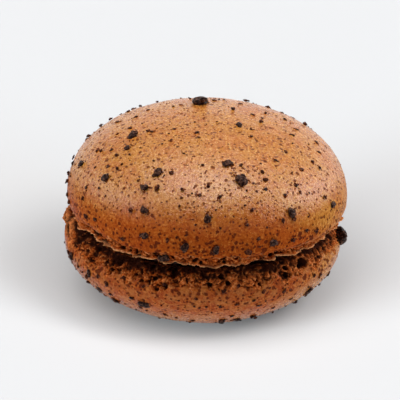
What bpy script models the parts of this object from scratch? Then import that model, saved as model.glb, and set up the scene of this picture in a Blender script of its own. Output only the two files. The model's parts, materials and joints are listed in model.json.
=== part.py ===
"""A chocolate macaron: two puffed almond shells with ragged feet, a layer of ganache between
them, and dark cocoa crumbs baked onto the shells. Metres, +Z up. The origin is on the surface
that the macaron stands on, under its middle. The widest gap between the shells faces -X and -Y."""

import math
import random
from collections import namedtuple

import bmesh
import bpy
from mathutils import Euler, Matrix, Vector, noise

MM = 0.001

# Driving dimensions of the whole macaron
UPPER_RADIUS = 22.5 * MM  # widest ring of the upper shell
LOWER_RADIUS = 22.2 * MM  # widest ring of the lower shell
LOWER_DEPTH = 11.1 * MM  # from the surface it stands on up to the lower shell's widest ring
RING_SPACING = 8.0 * MM  # from the lower shell's widest ring up to the upper shell's
CONTACT_GAP = 0.3 * MM  # kept between the ganache and the shells that hold it

# A shell in its own frame: heights count from its widest ring towards its crown. `up` is 1 for
# the upper shell and -1 for the lower one, which lies on its crown.
Shell = namedtuple(
    "Shell",
    "name up radius dome fullness crown_cut skin_drop foot_drop foot_radius lip_radius"
    " recess recess_radius lean wave swells noise_place place tilt",
)

# A place on the way round where the foot's lip runs outwards and towards its own crown, in
# degrees and millimetres. Bearings count from +X towards +Y.
Swell = namedtuple("Swell", "bearing spread outward upward")

UPPER = Shell(
    name="upper_shell",
    up=1,
    radius=UPPER_RADIUS,
    dome=12.6 * MM,
    fullness=2.3,  # exponent of the dome's profile: 2 is an ellipse, and more is boxier
    crown_cut=0.0,
    skin_drop=1.2 * MM,  # the smooth skin ends this far below the widest ring
    foot_drop=2.75 * MM,  # the foot's lip lies this far below the widest ring
    foot_radius=21.8 * MM,
    lip_radius=21.5 * MM,
    recess=1.2 * MM,  # the baked underside is this far in from the lip
    recess_radius=18.9 * MM,
    lean=0.5 * MM,  # the lip rises towards +X
    wave=0.4 * MM,  # how far the lip rises and falls unevenly on its way round
    swells=[Swell(214, 17, 0.0, 0.9)],
    noise_place=Vector((3.1, 7.7, 1.3)),
    place=Vector((0.2 * MM, 0.0, LOWER_DEPTH + RING_SPACING)),
    tilt=Euler((math.radians(0.8), math.radians(0.7), 0.0)),
)
LOWER = Shell(
    name="lower_shell",
    up=-1,
    radius=LOWER_RADIUS,
    dome=11.9 * MM,
    fullness=1.76,
    crown_cut=11.9 * MM - LOWER_DEPTH,  # flattened where it rests
    skin_drop=1.2 * MM,
    foot_drop=4.2 * MM,
    foot_radius=21.9 * MM,
    lip_radius=21.2 * MM,
    recess=1.2 * MM,
    recess_radius=18.6 * MM,
    lean=0.2 * MM,
    wave=0.4 * MM,
    swells=[Swell(184, 18, 0.8, -0.9), Swell(232, 46, -1.4, 1.1)],
    noise_place=Vector((9.2, 2.4, 5.8)),
    place=Vector((-0.4 * MM, 0.0, LOWER_DEPTH)),
    tilt=Euler((0.0, 0.0, 0.0)),
)

# How finely the solids are faceted
TURN_STEPS = 108
DOME_ROWS = 8
FOOT_ROWS = 5
FILLING_STEPS = 64
FILLING_SIDE_ROWS = 5
SMOOTH_ANGLE = math.radians(50)

# The ragged foot: lumps of two sizes
LUMP_SIZE = 2.6 * MM
LUMP_DEPTH = 0.65 * MM
KNOB_SIZE = 1.3 * MM
KNOB_DEPTH = 0.4 * MM

# The ganache
FILLING_RADIUS = 19.5 * MM
FILLING_EDGE_RADIUS = 17.6 * MM
FILLING_SWELL = 0.3 * MM
FILLING_SWELL_SIZE = 4.0 * MM

# Crumbs: the largest are placed by bearing, rise (the angle up the dome from its widest ring, or
# below it on the foot) and width, in degrees and millimetres. The others are scattered between them.
Crumb = namedtuple("Crumb", "bearing rise width")
UPPER_LARGE_CRUMBS = [
    Crumb(100, 70, 2.9),
    Crumb(289, 45, 2.1),
    Crumb(195, 59, 1.8),
    Crumb(240, 47, 1.6),
    Crumb(252, -5, 1.6),
    Crumb(283, 58, 1.5),
    Crumb(308, 19, 1.4),
    Crumb(298, 3, 1.4),
    Crumb(261, 2, 1.4),
    Crumb(214, 31, 1.4),
    Crumb(238, 36, 1.3),
    Crumb(334, 12, 1.3),
    Crumb(244, 5, 1.3),
    Crumb(274, 1, 1.3),
    Crumb(242, 21, 1.2),
    Crumb(270, 21, 1.2),
    Crumb(348, 80, 1.1),
    Crumb(190, 26, 1.1),
    Crumb(206, 53, 1.1),
]
LOWER_LARGE_CRUMBS = [
    Crumb(356, -3.5, 3.0),
    Crumb(244, 18, 1.8),
    Crumb(281, 36, 1.4),
    Crumb(324, 18, 1.2),
    Crumb(226, 26, 1.1),
    Crumb(219, 18, 1.1),
    Crumb(216, 4, 1.1),
    Crumb(200, 1, 1.1),
    Crumb(289, 36, 1.1),
    Crumb(297, 34, 1.0),
]
UPPER_SMALL_CRUMBS = 54
LOWER_SMALL_CRUMBS = 42
SMALL_WIDTHS = (0.8, 1.15)  # millimetres
FINER_FROM = 1.7 * MM  # a crumb wider than this has finer facets
CRUMB_ROOM = 2.0 * MM  # least distance between the middles of two crumbs
CRUMB_REACH = 0.72 * LOWER_DEPTH  # how far down the lower dome crumbs lie, clear of what it stands on
CRUMB_FLATNESS = (0.5, 0.75)  # a crumb's height as a share of its width
CRUMB_SUNK = 0.32  # share of a crumb's height that is under the skin
LEAST_SUNK = 0.2 * MM  # which is at least this much
UPPER_SEED = 11
LOWER_SEED = 23

COLLECTION_NAME = "macaron"


# ---------------------------------------------------------------- scene and materials


def clear_scene():
    for thing in list(bpy.data.objects):
        bpy.data.objects.remove(thing)


def new_collection(name):
    collection = bpy.data.collections.new(name)
    bpy.context.scene.collection.children.link(collection)
    return collection


def material(name, colour, roughness):
    made = bpy.data.materials.new(name)
    made.use_nodes = True
    shader = made.node_tree.nodes["Principled BSDF"]
    shader.inputs["Base Color"].default_value = (*colour, 1.0)
    shader.inputs["Roughness"].default_value = roughness
    shader.inputs["Metallic"].default_value = 0.0
    return made


def between(low, high, value):
    """Where a value lies from low to high, as a share from 0 to 1."""
    return min(max((value - low) / (high - low), 0.0), 1.0)


# ---------------------------------------------------------------- the form of a shell


def dome_point(shell, rise):
    """(radius, height) of the smooth dome, at a rise of 0 on its widest ring up to a right angle on its crown.
    A negative rise is a place on the foot, as seen from the middle of the ring."""
    if rise < 0:
        return shell.foot_radius, shell.radius * math.sin(rise)
    power = 2 / shell.fullness
    radius = shell.radius * max(math.cos(rise), 0.0) ** power
    height = shell.dome * max(math.sin(rise), 0.0) ** power
    return radius, min(height, shell.dome - shell.crown_cut)


def shell_rows(shell):
    """(radius, height) of each turned row, from the crown over the foot to the middle of the underside."""
    rows = [dome_point(shell, math.pi / 2 * (1 - i / DOME_ROWS)) for i in range(DOME_ROWS + 1)]
    rows[0] = (0.0, shell.dome - shell.crown_cut)
    skin_edge = 0.5 * (shell.radius + shell.foot_radius)
    rows.append((0.5 * (shell.radius + skin_edge), -0.6 * shell.skin_drop))
    rows.append((skin_edge, -shell.skin_drop))
    foot_height = shell.foot_drop - shell.skin_drop
    for i in range(1, FOOT_ROWS + 1):
        share = i / FOOT_ROWS
        radius = shell.foot_radius + (shell.lip_radius - shell.foot_radius) * share**2
        rows.append((radius, -shell.skin_drop - foot_height * share))
    floor = -shell.foot_drop + shell.recess
    rows.append((0.6 * shell.lip_radius + 0.4 * shell.recess_radius, -shell.foot_drop + 0.1 * shell.recess))
    rows.append((shell.recess_radius, floor))
    rows.append((0.0, floor))
    return rows


def out_of_round(bearing, shell):
    """A shell's radius, as a share of the even one, at a bearing."""
    turn = shell.noise_place.x
    return 1 + 0.004 * math.sin(2 * bearing + turn) + 0.003 * math.sin(3 * bearing - turn)


def lip_shift(bearing, shell):
    """How far the foot's lip moves outwards and towards the crown at a bearing."""
    outward = 0.0
    upward = shell.lean * math.cos(bearing)
    for scale, share in ((2.2, 1.0), (9.0, 0.5)):
        around = Vector((scale * math.cos(bearing), scale * math.sin(bearing), 0.0))
        upward += share * shell.wave * noise.noise(around + shell.noise_place)
    for swell in shell.swells:
        turn = (bearing - math.radians(swell.bearing) + math.pi) % (2 * math.pi) - math.pi
        nearness = 1 - between(0.0, math.radians(swell.spread), abs(turn))
        share = nearness * nearness * (3 - 2 * nearness)
        outward += swell.outward * MM * share
        upward += swell.upward * MM * share
    return outward, upward


def crag(point, shell):
    """How far the foot stands out at a point: nothing on the skin and the underside."""
    below_skin = between(0.6 * shell.skin_drop, 1.4 * shell.skin_drop, -point.z)
    outside = between(shell.recess_radius, shell.lip_radius, math.hypot(point.x, point.y))
    lumps = noise.noise(point / LUMP_SIZE + shell.noise_place)
    knobs = noise.noise(point / KNOB_SIZE - shell.noise_place)
    return below_skin * outside * (LUMP_DEPTH * lumps + KNOB_DEPTH * knobs)


def shaped(point, shell):
    """Where a point of the evenly turned shell lies on the real one, both by their heights over the widest ring."""
    bearing = math.atan2(point.y, point.x)
    radius = math.hypot(point.x, point.y)
    outward, upward = lip_shift(bearing, shell)
    rim = between(shell.recess_radius, shell.lip_radius, radius)
    share = between(0.0, shell.foot_drop, -point.z) * rim * rim
    grown = radius * out_of_round(bearing, shell) + crag(point, shell) + outward * share
    return Vector((grown * math.cos(bearing), grown * math.sin(bearing), point.z + upward * share))


# ---------------------------------------------------------------- turned solids


def turned_mesh(name, rows, steps):
    """A closed mesh turned about Z from (radius, z) rows that run from the top on the axis, down the
    outer side, to the bottom on the axis."""
    profile = bpy.data.meshes.new(name + "_profile")
    points = [(radius, 0.0, z) for radius, z in rows]
    edges = [(i, i + 1) for i in range(len(points) - 1)]
    profile.from_pydata(points, edges, [])
    turning = bpy.data.objects.new(name + "_turning", profile)
    bpy.context.scene.collection.objects.link(turning)
    screw = turning.modifiers.new("turn", "SCREW")
    screw.axis = "Z"
    screw.angle = 2 * math.pi
    screw.steps = steps
    screw.render_steps = steps
    screw.use_merge_vertices = True
    screw.merge_threshold = 0.01 * MM
    graph = bpy.context.evaluated_depsgraph_get()
    mesh = bpy.data.meshes.new_from_object(turning.evaluated_get(graph))
    mesh.name = name
    bpy.data.objects.remove(turning)
    return mesh


def shell_object(shell, collection, finish):
    rows = [(radius, shell.up * height) for radius, height in shell_rows(shell)]
    if shell.up < 0:
        rows.reverse()
    mesh = turned_mesh(shell.name, rows, TURN_STEPS)
    for vertex in mesh.vertices:
        even = Vector((vertex.co.x, vertex.co.y, shell.up * vertex.co.z))
        real = shaped(even, shell)
        vertex.co = (real.x, real.y, shell.up * real.z)
    mesh.materials.append(finish)
    made = bpy.data.objects.new(shell.name, mesh)
    made.location = shell.place
    made.rotation_euler = shell.tilt
    collection.objects.link(made)
    return made


# ---------------------------------------------------------------- crumbs


def on_dome(shell, bearing, rise):
    """(point, outward direction) on a shell's dome, in the shell's own frame."""
    radius, height = dome_point(shell, rise)
    real = shaped(Vector((radius * math.cos(bearing), radius * math.sin(bearing), height)), shell)
    steep = shell.fullness - 1
    outward = (radius / shell.radius) ** steep / shell.radius
    upward = (max(height, 0.0) / shell.dome) ** steep / shell.dome
    direction = Vector((outward * math.cos(bearing), outward * math.sin(bearing), shell.up * upward))
    return Vector((real.x, real.y, shell.up * real.z)), direction.normalized()


def rise_share(shell, rise):
    """How much of the dome lies at a rise, from 0 to 1: a band of it grows with its radius and its breadth."""
    step = 0.01
    radius, height = dome_point(shell, rise)
    next_radius, next_height = dome_point(shell, rise + step)
    breadth = math.hypot(next_radius - radius, next_height - height) / step
    return radius * breadth / shell.radius**2


def scattered(shell, count, rng, taken):
    """(point, direction, width) of small crumbs spread evenly over the dome, clear of the ones already there."""
    found = []
    while len(found) < count:
        bearing = rng.uniform(0, 2 * math.pi)
        rise = rng.uniform(0.02, 0.49 * math.pi)
        width = rng.uniform(*SMALL_WIDTHS) * MM
        point, direction = on_dome(shell, bearing, rise)
        if point.z < -CRUMB_REACH or rng.random() > rise_share(shell, rise):
            continue
        if all((point - other).length > CRUMB_ROOM for other in taken):
            taken.append(point)
            found.append((point, direction, width))
    return found


def crumb_object(name, width, rng):
    """An angular scrap of cocoa, lying flat on the XY plane with part of its height under it."""
    form = bmesh.new()
    finer = 2 if width > FINER_FROM else 1
    bmesh.ops.create_icosphere(form, subdivisions=finer, radius=0.5 * width)
    flatness = rng.uniform(*CRUMB_FLATNESS)
    length = rng.uniform(0.85, 1.15)
    height = flatness * width
    lift = 0.5 * height - max(CRUMB_SUNK * height, LEAST_SUNK)
    for vertex in form.verts:
        vertex.co *= rng.uniform(0.78, 1.14)
        vertex.co = (vertex.co.x * length, vertex.co.y / length, vertex.co.z * flatness + lift)
    mesh = bpy.data.meshes.new(name)
    form.to_mesh(mesh)
    form.free()
    return bpy.data.objects.new(name, mesh)


def crumbs_on(shell, large, small_count, seed):
    """A collection of the shell's crumbs, the largest first."""
    rng = random.Random(seed)
    crumbs = new_collection(shell.name + "_crumbs")
    placed = []
    for crumb in large:
        point, direction = on_dome(shell, math.radians(crumb.bearing), math.radians(crumb.rise))
        placed.append((point, direction, crumb.width * MM))
    taken = [point for point, _, _ in placed]
    placed += scattered(shell, small_count, rng, taken)
    standing = Matrix.LocRotScale(shell.place, shell.tilt, None)
    for i, (point, direction, width) in enumerate(placed):
        crumb = crumb_object(f"{shell.name}_crumb_{i}", width, rng)
        lie = direction.to_track_quat("Z", "Y").to_matrix().to_4x4()
        spin = Matrix.Rotation(rng.uniform(0, 2 * math.pi), 4, "Z")
        crumb.matrix_world = standing @ Matrix.Translation(point) @ lie @ spin
        crumbs.objects.link(crumb)
    return crumbs


def fuse(shell, crumbs):
    """Joins a collection of crumbs into a shell's solid by one Boolean union, and clears the collection."""
    union = shell.modifiers.new("crumbs", "BOOLEAN")
    union.operation = "UNION"
    union.operand_type = "COLLECTION"
    union.collection = crumbs
    union.solver = "EXACT"
    graph = bpy.context.evaluated_depsgraph_get()
    joined = bpy.data.meshes.new_from_object(shell.evaluated_get(graph))
    shell.modifiers.remove(union)
    shell.data = joined
    joined.name = shell.name
    for crumb in list(crumbs.objects):
        bpy.data.objects.remove(crumb)
    bpy.data.collections.remove(crumbs)
    joined.set_sharp_from_angle(angle=SMOOTH_ANGLE)


# ---------------------------------------------------------------- ganache


def filling_rows(half):
    """(radius, z) rows of the ganache, from its top down, with z 0 halfway up it."""
    rows = [(0.0, half)]
    for i in range(FILLING_SIDE_ROWS + 1):
        angle = math.pi / 2 - math.pi * i / FILLING_SIDE_ROWS
        bulge = (FILLING_RADIUS - FILLING_EDGE_RADIUS) * math.cos(angle)
        rows.append((FILLING_EDGE_RADIUS + bulge, half * math.sin(angle)))
    rows.append((0.0, -half))
    return rows


def filling_object(collection, finish):
    """The ganache, level on the lower shell and leaning with the upper shell on top."""
    floor = LOWER.place.z + LOWER.foot_drop - LOWER.recess + CONTACT_GAP
    ceiling = UPPER.place.z - UPPER.foot_drop + UPPER.recess - CONTACT_GAP
    half = 0.5 * (ceiling - floor)
    mesh = turned_mesh("ganache", filling_rows(half), FILLING_STEPS)
    for vertex in mesh.vertices:
        radius = math.hypot(vertex.co.x, vertex.co.y)
        edge = between(0.9 * FILLING_EDGE_RADIUS, FILLING_RADIUS, radius)
        grown = 1 + FILLING_SWELL * edge * noise.noise(vertex.co / FILLING_SWELL_SIZE) / FILLING_RADIUS
        level = Vector((vertex.co.x * grown, vertex.co.y * grown, vertex.co.z))
        leaning = level.copy()
        leaning.rotate(UPPER.tilt)
        vertex.co = level.lerp(leaning, between(-half, half, level.z))
    mesh.materials.append(finish)
    made = bpy.data.objects.new("ganache", mesh)
    made.location = (0.5 * (UPPER.place.x + LOWER.place.x), 0.0, 0.5 * (ceiling + floor))
    collection.objects.link(made)
    mesh.set_sharp_from_angle(angle=SMOOTH_ANGLE)


def main():
    clear_scene()
    macaron = new_collection(COLLECTION_NAME)
    baked = material("baked_shell", (0.50, 0.22, 0.08), 0.6)
    ganache = material("ganache", (0.05, 0.018, 0.008), 0.45)
    upper = shell_object(UPPER, macaron, baked)
    lower = shell_object(LOWER, macaron, baked)
    fuse(upper, crumbs_on(UPPER, UPPER_LARGE_CRUMBS, UPPER_SMALL_CRUMBS, UPPER_SEED))
    fuse(lower, crumbs_on(LOWER, LOWER_LARGE_CRUMBS, LOWER_SMALL_CRUMBS, LOWER_SEED))
    filling_object(macaron, ganache)


main()
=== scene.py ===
"""The look of a chocolate macaron: two baked almond shells with ragged feet, the ganache between
them, and dark cocoa crumbs on the domes. Metres, +Z up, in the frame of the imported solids."""

import json
import math
import random
from collections import namedtuple

import bpy
from mathutils import Euler, Matrix, Vector, noise

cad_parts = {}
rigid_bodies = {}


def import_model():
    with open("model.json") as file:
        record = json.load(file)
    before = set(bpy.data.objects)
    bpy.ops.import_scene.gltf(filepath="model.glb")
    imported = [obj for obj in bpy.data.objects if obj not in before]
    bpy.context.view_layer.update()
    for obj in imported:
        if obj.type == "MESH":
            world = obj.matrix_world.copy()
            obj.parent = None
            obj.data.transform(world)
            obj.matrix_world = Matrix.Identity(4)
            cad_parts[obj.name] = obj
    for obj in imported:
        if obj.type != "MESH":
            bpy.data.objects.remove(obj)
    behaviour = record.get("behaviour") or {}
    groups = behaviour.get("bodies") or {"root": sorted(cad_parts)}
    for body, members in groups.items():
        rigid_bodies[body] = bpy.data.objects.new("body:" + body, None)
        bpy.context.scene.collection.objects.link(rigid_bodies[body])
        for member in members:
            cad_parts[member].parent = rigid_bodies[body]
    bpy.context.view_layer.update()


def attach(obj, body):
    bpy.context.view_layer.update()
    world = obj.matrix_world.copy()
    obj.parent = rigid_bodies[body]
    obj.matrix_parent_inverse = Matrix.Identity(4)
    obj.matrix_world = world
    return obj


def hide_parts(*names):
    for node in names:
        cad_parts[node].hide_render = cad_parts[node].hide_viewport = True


for thing in list(bpy.data.objects):
    bpy.data.objects.remove(thing)

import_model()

MM = 0.001
TURN = 2 * math.pi
BODY = "root"

# ---- the solids' driving dimensions

UPPER_RADIUS = 22.5 * MM  # widest ring of the upper shell
LOWER_RADIUS = 22.2 * MM  # widest ring of the lower shell
LOWER_DEPTH = 11.1 * MM  # from the surface it stands on up to the lower shell's widest ring
RING_SPACING = 8.0 * MM  # from the lower shell's widest ring up to the upper shell's
CONTACT_GAP = 0.3 * MM  # between the ganache and the shells

# A shell in its own frame: heights count from its widest ring towards its crown. `up` is 1 for
# the upper shell and -1 for the lower one, which lies on its crown.
Shell = namedtuple(
    "Shell",
    "name up radius dome fullness crown_cut skin_drop foot_drop foot_radius lip_radius"
    " recess recess_radius lean wave swells noise_place place tilt",
)

# A place on the way round where the foot's lip runs outwards and towards its own crown, in
# degrees and millimetres. Bearings count from +X towards +Y.
Swell = namedtuple("Swell", "bearing spread outward upward")

UPPER = Shell(
    name="upper_shell",
    up=1,
    radius=UPPER_RADIUS,
    dome=12.6 * MM,
    fullness=2.3,
    crown_cut=0.0,
    skin_drop=1.2 * MM,
    foot_drop=2.75 * MM,
    foot_radius=21.8 * MM,
    lip_radius=21.5 * MM,
    recess=1.2 * MM,
    recess_radius=18.9 * MM,
    lean=0.5 * MM,
    wave=0.4 * MM,
    swells=[Swell(214, 17, 0.0, 0.9)],
    noise_place=Vector((3.1, 7.7, 1.3)),
    place=Vector((0.2 * MM, 0.0, LOWER_DEPTH + RING_SPACING)),
    tilt=Euler((math.radians(0.8), math.radians(0.7), 0.0)),
)
LOWER = Shell(
    name="lower_shell",
    up=-1,
    radius=LOWER_RADIUS,
    dome=11.9 * MM,
    fullness=1.76,
    crown_cut=11.9 * MM - LOWER_DEPTH,
    skin_drop=1.2 * MM,
    foot_drop=4.2 * MM,
    foot_radius=21.9 * MM,
    lip_radius=21.2 * MM,
    recess=1.2 * MM,
    recess_radius=18.6 * MM,
    lean=0.2 * MM,
    wave=0.4 * MM,
    swells=[Swell(184, 18, 0.8, -0.9), Swell(232, 46, -1.4, 1.1)],
    noise_place=Vector((9.2, 2.4, 5.8)),
    place=Vector((-0.4 * MM, 0.0, LOWER_DEPTH)),
    tilt=Euler((0.0, 0.0, 0.0)),
)

OVAL = 0.004  # how far a shell is out of round in two bulges, as a share of its radius
THREE_SIDED = 0.003  # and in three
LIP_WAVES = ((2.2, 1.0), (9.0, 0.5))  # how close together the lip's waves are, and how high

LUMP_SIZE = 2.6 * MM
LUMP_DEPTH = 0.65 * MM
KNOB_SIZE = 1.3 * MM
KNOB_DEPTH = 0.4 * MM
LUMPS_START = (0.6, 1.4)  # the band in which they grow, in depths of the skin's edge

FILLING_RADIUS = 19.5 * MM
FILLING_EDGE_RADIUS = 17.6 * MM
FILLING_FLAT = 0.8  # of that radius, where the last row of the flat faces lies
FILLING_UNEVEN = 0.9  # and from where on they are uneven
FILLING_SWELLS = ((0.35 * MM, 4.0 * MM), (0.30 * MM, 1.2 * MM))  # how high and how wide

# ---- how finely the pieces are made

TURN_STEPS = 840
DOME_ROWS = 60
SKIN_EDGE_ROWS = 10
WALL_ROWS = 34
RECESS_ROWS = 8
FILLING_STEPS = 360
FILLING_SIDE_ROWS = 24
WELD = 0.002 * MM  # points nearer than this become one
LAYERS = (1.0, 2.0, 3)  # how rough layered noise is, how much finer each layer is, and how many

# The skin: a slow unevenness, and pimples where grains lie under it
SKIN_SWELL_SIZE = 6.0 * MM
SKIN_SWELL = 0.10 * MM
PIMPLE_SIZE = 1.1 * MM
PIMPLE = 0.05 * MM
SKIN_EDGE_CURVE = 2.5  # the higher, the later it curves in to the foot

# The foot of each shell: how ragged its edge under the skin is, its curds, the pits between them, the
# fine crumb and streaks on both, and how far its lip stands out or, below nothing, is drawn in.
# Millimetres, but for pit_widest, which is a share of the pits' spacing.
Foot = namedtuple("Foot", "ragged curd_size curd pit_size pit_widest pit fine_size fine streak lip lip_width")
UPPER_FOOT = Foot(0.9, 0.75, 0.38, 0.85, 0.68, 1.05, 0.36, 0.28, 0.12, 0.40, 0.36)
LOWER_FOOT = Foot(1.5, 0.9, 0.42, 1.25, 0.48, 1.15, 0.42, 0.40, 0.26, -0.60, 0.45)
RAGGED_EDGE_SIZE = 1.6 * MM
STREAK_SIZE = 0.85 * MM
STREAK_LIE = 0.22  # how much a height counts in the streaks, which run up and down
SAG_SIZE = 1.3 * MM
SAG_DEPTH = 0.24 * MM
PIT_DRAW = 7.0  # parts the pits' middles, so that each draws its own width
CURD_FALL = 2.2  # how steeply a curd falls away from its middle
BROKEN_LIP_SIZE = 1.7 * MM
LIP_WHOLE = (-0.45, 0.30)  # the band of noise in which the upper lip grows from broken to whole
LIP_SMOOTHING = 0.6  # how much of the relief the upper lip smooths out

# A bulge of the lower lip: the band of the lip's shift outwards in which it grows, what shares it adds
# to the curds, streaks, fine crumb and pits, and how many millimetres it draws the wall in
Bulge = namedtuple("Bulge", "shifts curd streak fine pit inward")
BULGE = Bulge((-0.1 * MM, 0.35 * MM), -0.6, 0.5, -0.35, -0.1, 0.25)

# How a shell's finish changes from place to place. A pair is the band in which a share grows.
SKIN_TEARS = (0.85, 1.1)  # in depths of the skin's edge
SKIN_CRUMBLES = (0.45, 1.3)
SKIN_EDGE_PALE = 0.6  # how pale the torn edge of the upper skin is
FULL_PIT = 0.75 * MM  # painted shade: a place this far in from the even wall is all dark
PALE_AND_LIT_TIPS = (0.06 * MM, 0.40 * MM)  # out from the even wall; tips are partly baked paler and partly painted light where crests catch it
# the bulging lower foot's ridge: partly paler, partly painted light
BULGE_PALE_AND_LIT = 0.9
# the band along the upper lip where a highlight is painted
LIP_HALF_WIDTH = 0.32 * MM
SHADE_CURVE = 1.6  # the higher, the nearer to the lower lip the foot's shade stays
SHADE_BREADTH = 0.5  # of the shade's rise on the underside, as a share of the way to the recess
ROLLED_UNDER = 0.35  # how much further in it starts at a bulge
PITTED_SKIN = 3.5 * MM  # how far up the dome the skin is pitted by what bursts at the foot
UPPER_SHEEN = (0.19, 0.49)  # of the upper dome's height
LOWER_SHEEN = 0.16  # how much soft sheen the lower skin has, next to the upper crown's
UPPER_EDGE_SHEEN = 0.45  # how much sheen the skin has where it is seen aslant
LOWER_EDGE_SHEEN = 0.9
SIDE_LIGHT_BAND = (0.40, 0.95)  # of the way out to the left and right ends, where the painted side light grows
RIGHT_SIDE_LIGHT = 0.55  # painted side light: how much nearer to the crown's colour the skin's low part is at the sides
LEFT_SIDE_LIGHT = 0.22
UPPER_GOLD = 0.2  # how much of the skin's paler golden patches each shell has
LOWER_GOLD = 0.36
LOWER_TONE = 0.85  # how soon the lower skin takes the lit crown's colour over the rim's painted shade, next to the upper one
UPPER_OPEN_CRUMB = 0.75  # how much of the upper foot's colour is open crumb's and not the skin's

# A hollow in the foot: degrees round, millimetres down from the widest ring, and how wide, how high
# and how deep it is
Hollow = namedtuple("Hollow", "bearing drop width height depth")
HOLLOW_RIM = (1.12, 0.22)  # its middle and half width, in half widths of the hollow
HOLLOW_RIM_HEIGHT = 0.15 * MM
UPPER_HOLLOWS = [Hollow(329, 1.4, 2.6, 0.7, 0.7)]
LOWER_HOLLOWS = [Hollow(272.5, 1.7, 1.7, 1.1, 1.1), Hollow(316.4, 2.8, 2.1, 1.9, 1.3)]

# ---- crumbs

# A crumb on a dome: degrees round, degrees up from the widest ring, millimetres wide, and how many
# times thicker than others of its width
Crumb = namedtuple("Crumb", "bearing rise width thicker", defaults=[1.0])


def crumb_list(*rows):
    return [Crumb(*row) for row in rows]


UPPER_LARGE_CRUMBS = crumb_list(
    (100, 70, 2.9), (289, 45, 2.1), (195, 59, 1.8), (240, 47, 1.6), (252, -5, 1.6), (283, 58, 1.5),
    (308, 19, 1.4), (298, 3, 1.4), (261, 2, 1.4), (214, 31, 1.4), (238, 36, 1.3), (334, 12, 1.3),
    (244, 5, 1.3), (274, 1, 1.3), (242, 21, 1.2), (270, 21, 1.2), (348, 80, 1.1), (190, 26, 1.1),
    (206, 53, 1.1),
)
LOWER_LARGE_CRUMBS = crumb_list(
    (356, -3.5, 3.0, 1.35), (244, 18, 1.8), (281, 36, 1.4), (324, 18, 1.2), (226, 26, 1.1),
    (219, 18, 1.1), (216, 4, 1.1), (200, 1, 1.1), (289, 36, 1.1), (297, 34, 1.0),
)
# Grains that stand out on the front and on its outline
UPPER_GRAINS = crumb_list(
    (248, 49, 0.9), (244, 37, 1.0), (257, 39, 0.8), (270, 43, 0.7), (195, 67, 0.8), (207, 46, 0.8),
    (216, 40, 0.7), (57, 75, 0.9), (12, 71, 0.8), (255, 77, 0.6), (331, 55, 0.7), (340, 36, 0.6),
    (292, 56, 0.7), (303, 49, 0.8), (302, 44, 0.9), (303, 16, 0.9), (320, 2, 0.9), (290, 26, 0.7),
    (329, 20, 0.6), (307, 2, 0.9), (273, 0, 1.0), (234, 0, 0.9), (254, 5, 0.8), (236, 19, 1.0),
    (194, 41, 0.7), (212, 2, 0.9), (207, 11, 0.8), (287, 0, 1.2), (309, 15, 0.9), (266, 57, 0.6),
    (317, 30, 0.6), (181, 11, 0.9), (182, 6, 1.0), (171, 16, 0.8), (180, 18, 0.8), (161, 27, 0.8),
    (155, 34, 1.0), (148, 36, 0.8), (143, 46, 0.7), (132, 45, 0.7), (121, 46, 0.6), (69, 47, 1.0),
    (55, 45, 0.7), (30, 40, 0.9), (188, 1, 0.9), (193, 0, 0.9),
)
LOWER_GRAINS = crumb_list(
    (245, -1, 0.9), (279, -2, 0.9), (268, 4, 0.7), (227, 6, 0.8), (296, 0, 0.8), (285, -4, 0.8),
    (323, 0, 0.8), (326, 25, 0.8), (321, 29, 0.9), (213, 10, 0.8), (207, 5, 0.8), (196, 0, 0.8),
    (235, -3, 0.8), (254, -4, 0.8), (272, 13, 0.6), (292, 9, 0.7), (306, 4, 0.7), (299, -1, 0.7),
    (222, 2, 0.9), (226, 18, 0.7), (304, 44, 0.9), (211, 17, 0.8),
)
CRUMB_REACH = 0.72 * LOWER_DEPTH  # how far down the lower dome crumbs lie
CRUMB_RISES = (0.02, 0.49 * math.pi)  # of the scattered ones, up from the widest ring
CRUMB_ROCKED = 0.35  # how far a crumb leans at most, in radians
UPPER_SEED = 11
LOWER_SEED = 23

# A kind of crumb: how many are scattered on the upper and the lower shell, how wide in millimetres, how
# far apart at least, and how much of them lies in the skin. Then the forms that they are copied from:
# the lumps and triangles in each, how many forms, and the first one's seed.
Kind = namedtuple("Kind", "counts widths room sunk lumps triangles forms seed")
KINDS = {
    "cocoa_crumbs": Kind((54, 42), (0.8, 1.15), 2.0 * MM, 0.32, 5, 300, 9, 40),
    "cocoa_grains": Kind((92, 80), (0.26, 0.54), 0.7 * MM, 0.18, 3, 64, 8, 60),
    "cocoa_specks": Kind((500, 320), (0.12, 0.30), 0.3 * MM, 0.32, 2, 28, 6, 80),
}
BROAD = 1.17  # how wide the solids' large crumbs look, with the scraps that stick to them
SHRUNK = 0.62  # how wide the solids' scattered crumbs look, since their edges are baked over
DUST_COUNT = 6  # specks close round each crumb of the solids
DUST_WIDTHS = (0.2, 0.42)
DUST_NEAREST = 0.36  # in widths of the crumb, from its middle
DUST_SPREAD = 0.45
DUST_CLOSENESS = 1.5  # the higher, the nearer to the crumb most of them lie
GATHERED = 2.2  # how much the finer crumbs gather in drifts
LEFTWARD = 0.16  # how much more of them lie towards -X
DRIFT_SIZE = 5.5 * MM
GRAIN_SEED = 5
FORM_STEP = 5  # from a crumb's form to the next one's, so that neighbours differ

# A form is an angular scrap, a core with lumps on it. Before it is made 1 across, these are the widths
# of core and lumps, how far out and how high the lumps sit, and how far their corners stand out.
SCRAP_CORES = (0.56, 0.70)
SCRAP_LUMPS = (0.28, 0.46)
SCRAP_REACH = (0.20, 0.34)
SCRAP_HEIGHTS = (-0.08, 0.08)
SCRAP_CORNERS = (0.68, 1.22)
SCRAP_VOXEL = 0.04
SCRAP_LENGTHS = (0.88, 1.14)
CRUMB_FLATNESS = (0.5, 0.75)

# ---- camera and light

CAMERA_HEIGHT_ANGLE = math.radians(23.9)
CAMERA_ROLL = math.radians(1.06)
CAMERA_DISTANCE = 1.0
CAMERA_SIGHT = 20.0
VIEW_WIDTH = 64.33 * MM  # of the picture, at the macaron
VIEW_MIDDLE = Vector((-0.93 * MM, 0.0, 17.86 * MM))
SENSOR_WIDTH = 36.0

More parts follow.
